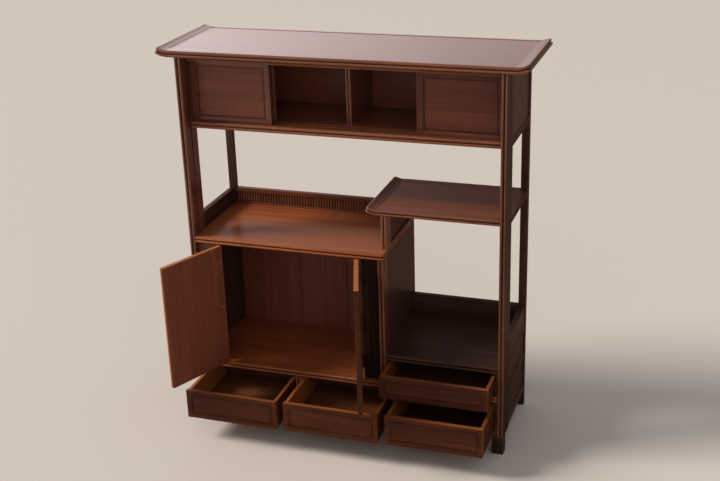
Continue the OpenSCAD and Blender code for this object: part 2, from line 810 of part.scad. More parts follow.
// Runners under the drawers' sides, with guides beside the outer drawers
runner_w = drawer_side_t + drawer_gap;
module runner(x0, x1) {
    block(x0, x1, base_front_d, rear_y, foot_h, runner_top);
}
module guide(x0, z0, z1) {
    block(x0, x0 + cheek_w, guide_y0, rear_y, z0, z1);
}
module drawer_runners() color(inner_wood) placed() {
    for (i = [0, 1]) {
        x0 = drawer_x0 + drawer_w + drawer_gap + i * drawer_step;
        runner(x0 - runner_w, x0 + divider_w + runner_w);
    }
    both_ends() {
        runner(inner_left, inner_left + cheek_w + runner_w);
        guide(inner_left, base_top, sill_under);
    }
    guide(mid_right, sill_z, niche_under);
    guide(inner_right - cheek_w, sill_z, niche_under);
}

// Hinges, drawn about the axis of the left door; closed, the door lies towards +X
module knuckle(z0, z1, bore) {
    translate([0, 0, z0])
        difference() {
            cylinder(z1 - z0, knuckle_r, knuckle_r);
            translate([0, 0, -cut])
                cylinder(z1 - z0 + 2 * cut, bore, bore);
        }
}
module leaf_tab(x0, z0, z1) {
    difference() {
        block(x0, x0 + leaf_t, 0, leaf_t + axis_ahead, z0, z1);
        translate([0, 0, z0 - cut])
            cylinder(z1 - z0 + 2 * cut, knuckle_r - leaf_t, knuckle_r - leaf_t);
    }
}
module fixed_leaf(z) {
    x0 = -door_gap / 2;
    block(x0, x0 + leaf_t, axis_ahead, axis_ahead + leaf_w, z, z + hinge_h);
    for (k = [0, 2]) {
        k0 = z + k * (knuckle_h + seat_gap);
        leaf_tab(x0, k0, k0 + knuckle_h);
        translate([0, 0, k0])
            cylinder(knuckle_h, knuckle_r, knuckle_r);
    }
    translate([0, 0, z])
        cylinder(hinge_h, hinge_pin_r, hinge_pin_r);
}
module door_leaf(z) {
    x0 = door_gap / 2 - leaf_t;
    k0 = z + knuckle_h + seat_gap;
    block(x0, x0 + leaf_t, axis_ahead, axis_ahead + leaf_w, z, z + hinge_h);
    leaf_tab(x0, k0, k0 + knuckle_h);
    knuckle(k0, k0 + knuckle_h, hinge_pin_r + pin_fit);
}
module left_axis() {
    translate([door_open_x0 + door_gap / 2, hinge_axis_y, 0])
        children();
}
module right_axis() {
    translate([door_open_x1 - door_gap / 2, hinge_axis_y, 0])
        mirror([1, 0, 0])
            children();
}
module hinge_leaves_fixed() color(brass) placed() {
    left_axis()
        for (z = hinge_levels)
            fixed_leaf(sill_z + z - hinge_h / 2);
    right_axis()
        for (z = hinge_levels)
            fixed_leaf(sill_z + z - hinge_h / 2);
}
module door_slab() {
    translate([door_gap / 2, axis_ahead, 0])
        moulded_front(0, door_w, 0, door_t, door_z0, door_z1, band_w);
}
module door_leaves() {
    for (z = hinge_levels)
        door_leaf(sill_z + z - hinge_h / 2);
}
module door_left() color(inner_wood) placed()
    left_axis()
        rotate([0, 0, -door_left_rest])
            door_slab();
module hinge_leaves_left() color(brass) placed()
    left_axis()
        rotate([0, 0, -door_left_rest])
            door_leaves();
module door_right() color(inner_wood) placed()
    right_axis()
        rotate([0, 0, -door_right_rest])
            door_slab();
module hinge_leaves_right() color(brass) placed()
    right_axis()
        rotate([0, 0, -door_right_rest])
            door_leaves();

// Drawers: the front, and a box of two sides, a back and a bottom behind it
module drawer_front(x0, w, z0, z1, pull) {
    translate([0, -pull, 0])
        moulded_front(x0, x0 + w, 0, drawer_front_t, z0, z1);
}
module drawer_box(x0, w, z0, z1, pull) {
    side_top = z1 - drawer_side_drop;
    inner_x0 = x0 + drawer_side_t + glue;
    inner_x1 = x0 + w - drawer_side_t - glue;
    translate([0, -pull, 0]) {
        for (x = [x0, x0 + w - drawer_side_t])
            block(x, x + drawer_side_t, drawer_front_t, drawer_len, z0, side_top);
        block(inner_x0, inner_x1, drawer_len - drawer_side_t, drawer_len, z0, side_top);
        block(inner_x0, inner_x1, drawer_front_t, drawer_len - drawer_side_t - glue,
            z0 + drawer_bottom_t, z0 + 2 * drawer_bottom_t);
    }
}
module drawer_front_left() color(lacquer) placed()
    drawer_front(drawer_x0, drawer_w, drawer_z0, drawer_z1, pull_left);
module drawer_box_left() color(inner_wood) placed()
    drawer_box(drawer_x0, drawer_w, drawer_z0, drawer_z1, pull_left);
module drawer_front_middle() color(lacquer) placed()
    drawer_front(drawer_x0 + drawer_step, drawer_w, drawer_z0, drawer_z1, pull_middle);
module drawer_box_middle() color(inner_wood) placed()
    drawer_box(drawer_x0 + drawer_step, drawer_w, drawer_z0, drawer_z1, pull_middle);
module drawer_front_right() color(lacquer) placed()
    drawer_front(drawer_x0 + 2 * drawer_step, drawer_w, drawer_z0, drawer_z1, pull_right);
module drawer_box_right() color(inner_wood) placed()
    drawer_box(drawer_x0 + 2 * drawer_step, drawer_w, drawer_z0, drawer_z1, pull_right);
module drawer_front_upper() color(lacquer) placed()
    drawer_front(upper_drawer_x0, upper_drawer_w, upper_drawer_z0, upper_drawer_z1, pull_upper);
module drawer_box_upper() color(inner_wood) placed()
    drawer_box(upper_drawer_x0, upper_drawer_w, upper_drawer_z0, upper_drawer_z1, pull_upper);

top_rails();
top_end_left();
top_end_right();
top_panel();
post_front_left();
post_front_right();
post_rear_left();
post_rear_right();
feet_front();
post_mid_front();
post_mid_rear();
strut_upper();
upper_floor();
upper_head();
upper_back();
upper_sides();
partition();
left_shelf();
gallery_back();
gallery_slats();
gallery_left();
stagger_end();
stagger_frame();
stagger_panel();
stagger_gallery();
cabinet_floor();
cabinet_back();
cabinet_side_left();
cabinet_side_right();
strip_left();
strip_right();
niche_floor();
niche_back();
niche_side();
side_lower_right();
base_rails();
drawer_dividers();
drawer_runners();
drawer_backs();
hinge_leaves_fixed();
door_left();
hinge_leaves_left();
door_right();
hinge_leaves_right();
slide_frame_1();
slide_panel_1();
slide_frame_2();
slide_panel_2();
slide_frame_3();
slide_panel_3();
slide_frame_4();
slide_panel_4();
drawer_front_left();
drawer_box_left();
drawer_front_middle();
drawer_box_middle();
drawer_front_right();
drawer_box_right();
drawer_front_upper();
drawer_box_upper();
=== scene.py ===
# %% [markdown]
# # A tea cabinet, dressed in rosewood and lacquer
#
# The joiner's work is already done when this notebook starts: every board, door and drawer of the
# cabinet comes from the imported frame, at its real size. What is missing is what a finisher adds.
# The arrises are eased by hand, the grain of each board runs along the board, the lacquer shines,
# and the hinges get their screws. Loading comes first, because everything else asks the frame
# where it is.

# %% Load the frame
import json
import math
import random

import bmesh
import bpy
from mathutils import Euler, Matrix, Vector


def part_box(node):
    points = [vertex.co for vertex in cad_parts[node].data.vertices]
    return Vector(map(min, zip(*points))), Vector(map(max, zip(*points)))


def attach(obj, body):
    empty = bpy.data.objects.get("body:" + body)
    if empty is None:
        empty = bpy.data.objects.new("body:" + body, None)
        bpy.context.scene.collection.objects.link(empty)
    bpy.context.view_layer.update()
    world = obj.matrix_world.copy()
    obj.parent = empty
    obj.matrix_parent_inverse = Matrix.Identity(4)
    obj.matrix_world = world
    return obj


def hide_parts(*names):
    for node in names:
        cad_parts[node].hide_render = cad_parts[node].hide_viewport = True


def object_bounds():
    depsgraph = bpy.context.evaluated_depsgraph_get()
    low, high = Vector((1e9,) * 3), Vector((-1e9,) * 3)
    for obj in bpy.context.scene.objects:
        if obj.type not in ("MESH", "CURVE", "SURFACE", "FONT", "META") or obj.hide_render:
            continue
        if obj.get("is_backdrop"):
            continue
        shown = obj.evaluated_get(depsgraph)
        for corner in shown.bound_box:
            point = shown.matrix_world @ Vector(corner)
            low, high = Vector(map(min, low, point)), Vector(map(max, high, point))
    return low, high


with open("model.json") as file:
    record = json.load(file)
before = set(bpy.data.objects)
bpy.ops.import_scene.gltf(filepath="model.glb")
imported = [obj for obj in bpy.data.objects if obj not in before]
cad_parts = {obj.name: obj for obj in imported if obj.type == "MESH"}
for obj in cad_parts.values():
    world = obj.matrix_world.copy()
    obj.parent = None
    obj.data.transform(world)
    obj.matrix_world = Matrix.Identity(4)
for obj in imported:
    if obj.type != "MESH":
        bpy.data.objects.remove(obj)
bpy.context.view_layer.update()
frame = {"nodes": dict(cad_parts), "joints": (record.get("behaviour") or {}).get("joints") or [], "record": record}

MM = 0.001

# %% [markdown]
# ## The camera
#
# The cabinet is seen from the front right and from a little above. The camera stands three and a
# half metres away, with a lens a little longer than a normal one. It could be turned by eye until
# the picture looks right. Here its place and turn were found by matching straight edges of the
# cabinet with the picture, which is more exact, so they are numbers.

# %% Set up the camera
LENS_MM, SENSOR_MM = 60.14, 36
CAMERA_PLACE = (1.0290, -2.8564, 1.7987)
CAMERA_TURN_DEGREES = (67.930, 1.769, 18.438)

lens = bpy.data.cameras.new("camera")
lens.lens = LENS_MM
lens.sensor_width = SENSOR_MM
camera = bpy.data.objects.new("camera", lens)
camera.location = CAMERA_PLACE
camera.rotation_euler = Euler([math.radians(a) for a in CAMERA_TURN_DEGREES])
bpy.context.scene.collection.objects.link(camera)
bpy.context.scene.camera = camera
bpy.context.scene.view_settings.view_transform = "Standard"
print("camera stands", round(camera.location.length, 2), "m from the floor under the cabinet")

# %% [markdown]
# ## Tools for colour and nodes
#
# A colour is easiest to name as a web colour, but shaders count in linear light, so one function
# turns the one into the other. Materials are built as node trees. They could be put together in
# the shader editor too, but a script makes many that differ only in a few numbers. One more
# function adds a node, sets its switches, and either links or fills in each of its sockets.


# %% Colour and node helpers
def linear(web):
    # the curve of sRGB: a straight foot for the darkest tones, and a power above it
    channels = [int(web[i:i + 2], 16) / 255 for i in (1, 3, 5)]
    return [c / 12.92 if c <= 0.04045 else ((c + 0.055) / 1.055) ** 2.4 for c in channels] + [1.0]


def add(tree, kind, sockets=(), **switches):
    node = tree.nodes.new("ShaderNode" + kind)
    for name, value in switches.items():
        setattr(node, name, value)
    for key, value in dict(sockets).items():
        if isinstance(value, bpy.types.NodeSocket):
            tree.links.new(value, node.inputs[key])
        else:
            node.inputs[key].default_value = value
    return node


def new_material(name):
    material = bpy.data.materials.new(name)
    material.use_nodes = True
    material.node_tree.nodes.clear()
    return material, material.node_tree


print("grey #808080 in linear light:", round(linear("#808080")[0], 3))

# %% [markdown]
# ## Wood under a clear coat
#
# Rosewood has three things to see. Broad dark and light figure runs along the board, a few
# centimetres wide and very long. Fine open pores lie in it as short dark dashes. The clear coat on
# top is smooth and shiny, but it sinks a little into the pores, so its shine is slightly broken.
#
# The figure could be a picture, but noise stretched along the grain gives the same and never repeats. Each board
# carries its own grain direction and place in an attribute, so two boards that meet at a corner never share their
# figure, as they don't in a real cabinet. A second attribute tells how light or dark the board is, partly as
# painted light and shade, and a third marks the eased edges and the tops of the beads, where hands have rubbed the
# colour thin and where the bead tops also get a painted highlight.


# %% Figure and pores
# pores are 0.3 mm wide in the real wood; 1 mm here, so that they still show
PORE_WIDE, PORE_LONG = 1 * MM, 14 * MM


def figure_of(tree, grain, wide_mm, long_mm):
    across, along = 1 / (wide_mm * MM), 1 / (long_mm * MM)
    stretched = add(tree, "Mapping", {"Vector": grain, "Scale": (along, across, across)})
    figure = add(tree, "TexNoise", {"Vector": stretched.outputs[0], "Scale": 1.0, "Detail": 5.0,
                                    "Roughness": 0.6, "Distortion": 0.7})
    return figure.outputs["Fac"]


def pores_of(tree, grain):
    dashes = (1 / PORE_LONG, 1 / PORE_WIDE, 1 / PORE_WIDE)
    place = add(tree, "Mapping", {"Vector": grain, "Scale": dashes})
    noise = add(tree, "TexNoise", {"Vector": place.outputs[0], "Scale": 1.0, "Detail": 2.0,
                                   "Roughness": 0.5})
    pores = add(tree, "MapRange", {"Value": noise.outputs["Fac"], "From Min": 0.56,
                                   "From Max": 0.72}, interpolation_type="SMOOTHSTEP")
    return pores.outputs[0]


print("pores drawn", round(PORE_LONG / PORE_WIDE), "times as long as wide")

# %% [markdown]
# The stain soaks in by the figure, and the pores drink most of it. On the rubbed edges it has gone thin, and the
# tops of the beads are lighter also as a painted highlight. In the hollows between two beads the stain lies thick
# and old wax has stayed there, and the hollows are darkened further as painted shade. They are nearly black, and
# they draw the lines that this furniture is known by. They could be painted by hand, but the occlusion node finds
# them: it looks a few millimetres around each point and tells how much of the sky is left. Only the piece itself
# may hide the sky, so a door keeps its colour when it moves.

# %% Stain, wear and old wax, with painted highlight and painted shade
HOLLOW_REACH = 4 * MM
WAX_AND_SHADE = "#160a07"


def stained(tree, figure, pores, dark, mid, light, contrast):
    tone = add(tree, "Attribute", attribute_name="tone").outputs["Fac"]
    toned = add(tree, "Math", {0: figure, 1: tone}, operation="ADD")
    ramp = add(tree, "ValToRGB", {"Fac": toned.outputs[0]})
    stops = ramp.color_ramp.elements
    stops[0].position, stops[0].color = 0.5 - contrast, linear(dark)
    stops[1].position, stops[1].color = 0.5 + contrast, linear(light)
    stops.new(0.5).color = linear(mid)
    pored = add(tree, "Mix", {"Factor": pores, "A": ramp.outputs[0], "B": linear(dark)},
                data_type="RGBA")
    return pored.outputs["Result"]


# lightens rubbed arrises, with a painted highlight on bead tops, and darkens hollows with old wax and painted
# shade
def aged(tree, figure, stain, rubbed):
    wear_and_highlight = add(tree, "Attribute", attribute_name="wear_and_highlight").outputs["Fac"]
    thin = add(tree, "MapRange", {"Value": figure, "From Min": 0.35, "From Max": 0.7,
                                  "To Min": 0.25, "To Max": 0.8})
    # rubbed arrises are lightened as wear, bead tops as wear and as painted highlight
    lightening = add(tree, "Math", {0: wear_and_highlight, 1: thin.outputs[0]}, operation="MULTIPLY")
    rubbed_and_highlit = add(tree, "Mix", {"Factor": lightening.outputs[0], "A": stain, "B": linear(rubbed)},
                      data_type="RGBA")
    # the hollows are darkened by occlusion: old wax, and painted shade
    sky = add(tree, "AmbientOcclusion", {"Distance": HOLLOW_REACH}, samples=8, only_local=True)
    darkened_hollow = add(tree, "MapRange", {"Value": sky.outputs["AO"], "From Min": 0.5,
                                      "From Max": 0.94, "To Min": 0.92, "To Max": 0.0})
    waxed_and_shaded = add(tree, "Mix", {"Factor": darkened_hollow.outputs[0], "A": rubbed_and_highlit.outputs["Result"],
                              "B": linear(WAX_AND_SHADE)}, data_type="RGBA")
    return waxed_and_shaded.outputs["Result"]


print("hollows are looked for within", round(HOLLOW_REACH / MM), "mm")

# %% [markdown]
# ## Eight woods
#
# The woods of the cabinet look alike, but they differ in stain and in how they were finished. Each
# finish could be a node tree of its own. They all have figure, pores, stain and wear, so one maker
# builds every tree, from four web colours and from sizes in millimetres. Under its coat the wood
# itself is nearly dull, and its roughness changes a little with the figure.

# %% A maker of wood finishes, and the first of them
LACQUER_IOR = 1.5
BARE_SHINE = 0.12


def wood(name, dark, mid, light, rubbed, figure_mm, figure_long_mm, coat, coat_rough, body_rough,
         pore_depth_mm, contrast):
    material, tree = new_material(name)
    grain = add(tree, "Attribute", attribute_name="grain").outputs["Vector"]
    figure = figure_of(tree, grain, figure_mm, figure_long_mm)
    pores = pores_of(tree, grain)
    stain = stained(tree, figure, pores, dark, mid, light, contrast)
    colour = aged(tree, figure, stain, rubbed)
    uneven = add(tree, "MapRange", {"Value": figure, "From Min": 0.3, "From Max": 0.7,
                                    "To Min": body_rough - 0.05, "To Max": body_rough + 0.07})
    sunk = add(tree, "Math", {0: pores, 1: -1.0}, operation="MULTIPLY")
    bump = add(tree, "Bump", {"Height": sunk.outputs[0], "Strength": 0.5,
                              "Distance": pore_depth_mm * MM})
    shader = add(tree, "BsdfPrincipled", {
        "Base Color": colour, "Roughness": uneven.outputs[0], "Normal": bump.outputs[0],
        "IOR": LACQUER_IOR, "Specular IOR Level": BARE_SHINE,
        "Coat Weight": coat, "Coat Roughness": coat_rough, "Coat IOR": LACQUER_IOR})
    add(tree, "OutputMaterial", {"Surface": shader.outputs[0]})
    print(name + ": figure", figure_mm, "by", figure_long_mm, "mm")
    return material


# Sprayed lacquer over stained rosewood, rubbed to a gloss: reflections are soft but clear.
red_rosewood = wood("red rosewood, gloss lacquer", "#4a231a", "#6f3d2c", "#925439", "#a26a4a",
                    figure_mm=22, figure_long_mm=460, coat=0.85, coat_rough=0.2,
                    body_rough=0.34, pore_depth_mm=0.05, contrast=0.4)

# %% More lacquered woods
# The same lacquer over a darker stain: rear posts, feet, sides, small railings, niche and base.
# It also serves as painted shade on the outer sides of the front posts and the strip beside the right door.
dark_rosewood = wood("dark rosewood, gloss lacquer", "#2c1a15", "#432a20", "#5a3a2d", "#734d39",
                     figure_mm=20, figure_long_mm=420, coat=0.18, coat_rough=0.3,
                     body_rough=0.36, pore_depth_mm=0.05, contrast=0.3)
# Fronts of the drawers: browner, darker also as painted shade for the light falling off towards the bottom, and
# rubbed duller by hands that pull them. The outer sides of the drawer boxes and the dark strips on the doors'
# edges look the same; on the right door's upright edges that darkness is painted shade.
brown_rosewood = wood("brown rosewood, satin lacquer", "#2f150b", "#4d2413", "#69351d", "#8a4c2c",
                      figure_mm=18, figure_long_mm=380, coat=0.4, coat_rough=0.3,
                      body_rough=0.4, pore_depth_mm=0.05, contrast=0.4)
# The left shelf, the panel of the staggered shelf and the cupboard's floor are of paler wood with an amber
# lacquer, the warmest surfaces of the cabinet. On the cupboard's floor this warmth is also painted light, for the
# light that falls in at its front.
amber_rosewood = wood("amber rosewood, gloss lacquer", "#6c321b", "#964f2c", "#b36c40", "#b67647",
                      figure_mm=26, figure_long_mm=480, coat=0.7, coat_rough=0.2,
                      body_rough=0.34, pore_depth_mm=0.05, contrast=0.4)

# %% Satin and bare woods
# Veneer of the hinged doors' insides, the sliding panels and the backs: stained, then brushed
# with satin varnish.
veneer = wood("stained veneer, satin varnish", "#56291c", "#7a4330", "#93563c", "#a0684a",
              figure_mm=15, figure_long_mm=520, coat=0.5, coat_rough=0.34,
              body_rough=0.42, pore_depth_mm=0.04, contrast=0.5)
# Solid lipping round the doors' edges, almost unstained: it takes the light as orange. On the top edges its
# lightness is also painted light, for the light falling from above.
lipping_with_painted_light = wood("light solid wood, satin varnish", "#8a4a22", "#b56b37", "#c9854c", "#d0965c",
               figure_mm=10, figure_long_mm=300, coat=0.5, coat_rough=0.34,
               body_rough=0.42, pore_depth_mm=0.04, contrast=0.24)
# Drawer boxes and the insides of their fronts: plain orange-brown wood, thin satin varnish.
drawer_wood = wood("orange brown wood, satin varnish", "#6a3717", "#8f5026", "#ad6a38", "#b67c48",
                   figure_mm=20, figure_long_mm=420, coat=0.4, coat_rough=0.38,
                   body_rough=0.45, pore_depth_mm=0.05, contrast=0.24)
# Drawer bottoms, backs and runners: the same wood, never varnished, made dark as painted shade for the shade in
# and around the drawers.
shaded_drawer_wood = wood("bare drawer wood, painted shade", "#30190c", "#4f2c17", "#6e4122", "#7a4a2a",
                     figure_mm=24, figure_long_mm=420, coat=0.1, coat_rough=0.5,
                     body_rough=0.6, pore_depth_mm=0.05, contrast=0.24)

# %% [markdown]
# ## Brass for the hinges
#
# The butt hinges are rolled brass that has gone dull. A yellow of one tone would look like paint,
# because a metal takes its colour from its reflections. So metallic is 1 and the roughness does
# the work: brushed along the leaf, with darker, rougher tarnish in patches of a few millimetres.
# The round screw heads on the doors stand proud, so every wipe with a cloth has kept them bright, and their brass
# is made paler still as a painted highlight.

# %% Two states of brass
TARNISH_PATCH = 5 * MM
BRUSH_APART, BRUSH_LONG, BRUSH_DEPTH = 0.4 * MM, 12 * MM, 0.02 * MM


def brass(name, clean, tarnished, clean_rough, tarnished_rough):
    material, tree = new_material(name)
    place = add(tree, "TexCoord").outputs["Object"]
    tarnish_noise = add(tree, "TexNoise", {"Vector": place, "Scale": 1 / TARNISH_PATCH,
                                           "Detail": 4.0})
    tarnish = add(tree, "MapRange", {"Value": tarnish_noise.outputs["Fac"], "From Min": 0.4,
                                     "From Max": 0.7})
    strokes = (1 / BRUSH_APART, 1 / BRUSH_APART, 1 / BRUSH_LONG)
    brushed = add(tree, "Mapping", {"Vector": place, "Scale": strokes})
    brush_noise = add(tree, "TexNoise", {"Vector": brushed.outputs[0], "Scale": 1.0,
                                         "Detail": 1.0})
    colour = add(tree, "Mix", {"Factor": tarnish.outputs[0], "A": linear(clean),
                               "B": linear(tarnished)}, data_type="RGBA")
    rough = add(tree, "MapRange", {"Value": tarnish.outputs[0], "To Min": clean_rough,
                                   "To Max": tarnished_rough})
    bump = add(tree, "Bump", {"Height": brush_noise.outputs["Fac"], "Strength": 0.3,
                              "Distance": BRUSH_DEPTH})
    shader = add(tree, "BsdfPrincipled", {"Base Color": colour.outputs["Result"], "Metallic": 1.0,
                                          "Roughness": rough.outputs[0],
                                          "Normal": bump.outputs[0]})
    add(tree, "OutputMaterial", {"Surface": shader.outputs[0]})
    return material


hinge_brass = brass("aged brass, satin", "#a8834a", "#4a3620", 0.28, 0.5)
# the round heads' brass is made paler as a painted highlight
wiped_and_highlit_brass = brass("wiped brass, painted highlight", "#fff0cf", "#d8b67c", 0.5, 0.6)
print("brass finishes:", hinge_brass.name, "and", wiped_and_highlit_brass.name)

# %% [markdown]
# ## From solids to boards
#
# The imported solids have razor-sharp edges, and each is one mesh even where it stands for several
# boards. Real arrises are eased with fine paper, about half a millimetre, and that thin line of
# light along every edge is what makes joinery look made. A bevel modifier would round the edges
# too, but a piece of our own can also tell its boards apart.
#
# So each solid is copied, its loose triangles are merged, flat faces are joined again, and the
# outer arrises are bevelled. Edges and faces that are only a few arrises long or wide are left
# alone, because a bevel would run over them.

# %% Ease the arrises
MERGE = 0.005 * MM
FLAT = math.radians(0.5)
SHARP = math.radians(40)
ARRIS = 0.55 * MM
ARRISES_LONG, ARRISES_WIDE = 4, 2.5


def width_of(face):
    return 2 * face.calc_area() / face.calc_perimeter()


def eased(node, arris=ARRIS):
    bm = bmesh.new()
    bm.from_mesh(frame["nodes"][node].data)
    bmesh.ops.remove_doubles(bm, verts=bm.verts, dist=MERGE)
    bmesh.ops.dissolve_limit(bm, angle_limit=FLAT, verts=bm.verts, edges=bm.edges)
    outer = [e for e in bm.edges if e.is_manifold and e.calc_face_angle_signed(0) > SHARP
             and e.calc_length() > ARRISES_LONG * arris
             and min(width_of(f) for f in e.link_faces) > ARRISES_WIDE * arris]
    made = bmesh.ops.bevel(bm, geom=outer, offset=arris, offset_type="OFFSET", affect="EDGES",
                           segments=2, profile=0.5, material=-1, clamp_overlap=False)
    return bm, set(made["faces"])


bm, rubbed = eased("partition")
print("partition:", len(rubbed), "of its", len(bm.faces), "faces are eased arrises")
bm.free()

# %% [markdown]
# Grain runs along the longest side of a board. The boards of a solid could be listed by hand, with
# a box for each, but a search finds them by itself. It starts at any face and walks over its edges
# to its neighbours until no new face turns up. What it has walked over counts as one board.

# %% Find the boards of a solid
# the order in which a board's axes are read: its length first
AXES = {"X": (0, 1, 2), "Y": (1, 0, 2), "Z": (2, 0, 1)}


def boards_of(bm):
    left = set(bm.faces)
    while left:
        board, edge_of_search = set(), [left.pop()]
        while edge_of_search:
            face = edge_of_search.pop()
            board.add(face)
            for e in face.edges:
                for other in e.link_faces:
                    if other in left:
                        left.discard(other)
                        edge_of_search.append(other)
        yield board


def longest_axis(board):
    corners = [v.co for f in board for v in f.verts]
    spans = [max(c[i] for c in corners) - min(c[i] for c in corners) for i in range(3)]
    return "XYZ"[spans.index(max(spans))]


bm, _ = eased("base_rails")
print("base_rails run along:", sorted(longest_axis(board) for board in boards_of(bm)))
bm.free()

# %% [markdown]
# The two beads along an edge are rounded, so their tops are rubbed thin as the arrises are, and they are lighter
# also as a painted highlight. A bead is built of narrow flat strips. A strip counts as the top of a bead where it
# is narrow and most of its outline is rounded. Painting the wear and the highlight by hand would be freer, but it
# would have to be done on every board.

# %% Find the tops of the beads
NARROW = 2.6 * MM
ROUND = math.radians(4)
ROUND_SHARE = 0.6


def bead_tops(bm, rubbed):
    def rounded(edge):
        return edge.is_manifold and edge.calc_face_angle_signed(0) > ROUND

    tops = set()
    for face in bm.faces:
        if face not in rubbed and width_of(face) < NARROW:
            soft = sum(e.calc_length() for e in face.edges
                       if rounded(e) or rubbed.intersection(e.link_faces))
            if soft > ROUND_SHARE * face.calc_perimeter():
                tops.add(face)
    return tops


bm, rubbed = eased("top_end_left")
print("top_end_left:", len(bead_tops(bm, rubbed)), "of its", len(bm.faces), "faces top a bead")
bm.free()

# %% [markdown]
# Some solids are one piece although a joiner would use two boards: the floor of a compartment and the short rail
# beside it, between the front and the rear post. There the grain turns at the inner face of the posts, and the
# rail has the dark finish of the cabinet's sides. The side rails of the staggered shelf begin where its panel
# ends. The outer side of a front post is as dark as them, which is painted shade. The solids could be cut in two,
# but then they would no longer be what the frame holds.

# %% Where the grain turns
FACING = 0.5
post_inner_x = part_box("post_front_right")[0].x
turn_x = {"upper_floor": post_inner_x, "cabinet_floor": post_inner_x,
          "left_shelf": post_inner_x, "niche_floor": post_inner_x,
          "stagger_frame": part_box("stagger_panel")[1].x}


def is_side_rail(node, face):
    return node in turn_x and abs(face.calc_center_median().x) > turn_x[node]


# the outer sides of the front posts get the dark finish as painted shade
def is_outer_side(node, face):
    outward = {"post_front_left": -1, "post_front_right": 1}.get(node, 0)
    return outward * face.normal.x > FACING


print("side rails begin at x, in mm:", {n: round(x / MM, 1) for n, x in turn_x.items()})

# %% [markdown]
# No two boards took the stain alike. Each could have a finish of its own, but a number on the board is enough,
# because the finish adds it to the figure. Each board gets a small random tone, with the name of its solid as the
# seed, so that it is the same in each run. Some solids get a tone of their own on top of that, found by setting
# the render beside the picture: above 0 is lighter and below 0 is darker. Many of these own tones are painted
# light and shade: solids that lie in shade, such as the strip beside the right door, the front posts and the feet,
# are made darker, and solids that catch light, such as the backs and sides of the upper bays and the drawer boxes,
# are made lighter. A random shift of up to three metres moves each board to a place of its own in the noise.

# %% Grain, tone and wear of each board
# many of these tones are painted shade and painted light
TONE_AND_PAINTED_LIGHT = {"left_shelf": 0.06, "stagger_panel": -0.22, "strip_right": -0.3, "gallery_slats": 0.15,
            "drawer_front_right": -0.05, "drawer_front_upper": -0.05,
            "slide_frame_1": -0.12, "slide_frame_2": -0.15, "slide_frame_3": -0.15,
            "slide_frame_4": -0.2, "slide_panel_1": -0.1, "slide_panel_4": -0.3,
            "upper_sides": 0.3, "upper_back": 0.25, "upper_floor": 0.1,
            "post_mid_front": -0.2, "post_front_left": -0.2, "post_front_right": -0.3,
            "feet_front": -0.2, "cabinet_side_left": 0.25, "base_rails": 0.15,
            "drawer_box_left": 0.25, "drawer_box_middle": 0.25, "drawer_box_right": 0.05}
FAR = 3
# bead tops are lightened as wear and also as a painted highlight
ARRIS_WEAR, BEAD_WEAR_AND_HIGHLIGHT = 1.0, 0.6


def mark_grain(bm, node, rubbed, spread):
    grain = bm.loops.layers.float_vector.new("grain")
    wear_and_highlight = bm.loops.layers.float.new("wear_and_highlight")
    tone = bm.faces.layers.float.new("tone")
    tops = bead_tops(bm, rubbed)
    chance = random.Random(node)
    count = 0
    for board in sorted(boards_of(bm), key=lambda b: min(f.index for f in b)):
        axis = longest_axis(board)
        shifts = [[chance.uniform(-FAR, FAR) for _ in range(3)] for _ in range(2)]
        tones = [chance.uniform(-spread, spread) for _ in range(2)]
        count += 1
        for face in board:
            turned = is_side_rail(node, face)
            order = AXES["Y" if turned else axis]
            face_wear_and_highlight = ARRIS_WEAR if face in rubbed else BEAD_WEAR_AND_HIGHLIGHT if face in tops else 0.0
            face[tone] = tones[turned] + TONE_AND_PAINTED_LIGHT.get(node, 0)
            for loop in face.loops:
                place = [loop.vert.co[i] for i in order]
                loop[grain] = [p + s for p, s in zip(place, shifts[turned])]
                loop[wear_and_highlight] = face_wear_and_highlight
    return count


print("solids with a tone of their own:", len(TONE_AND_PAINTED_LIGHT))

# %% [markdown]
# Shaded flat, an eased arris shows as two facets. Shaded smooth, a board looks swollen, because the light bends
# across its broad faces too. Weighted normals settle it: the broad faces stay flat and only the arrises bend the
# light. Every piece is then hung on the body it rides on, and the solids it stands for are hidden.

# %% Make a finished piece
SMOOTH = math.radians(38)
body_of = {n: b for b, names in frame["record"]["behaviour"]["bodies"].items() for n in names}
slot_of = {row["node"]: row["material_slot"] for row in frame["record"]["subparts"]}


def finish_piece(bm, name, body, slot, materials, stands_for):
    for face in bm.faces:
        face.smooth = True
    mesh = bpy.data.meshes.new(name)
    bm.to_mesh(mesh)
    bm.free()
    mesh.set_sharp_from_angle(angle=SMOOTH)
    for material in materials:
        mesh.materials.append(material)
    piece = bpy.data.objects.new(name, mesh)
    bpy.context.scene.collection.objects.link(piece)
    even = piece.modifiers.new("even shading", "WEIGHTED_NORMAL")
    even.keep_sharp = True
    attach(piece, body)
    if stands_for:
        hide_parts(*stands_for)
    return piece


# %% [markdown]
# ## Every plain wooden piece
#
# The table below says which finish each plain solid gets: the red one in front, the dark one at
# the sides, and plain woods where nobody looks. Each could be dressed by lines of its own, but
# they differ only in their finish, so one loop does them all. Doors, drawer fronts and drawer
# boxes come after it, because they change finish from one face to the next.

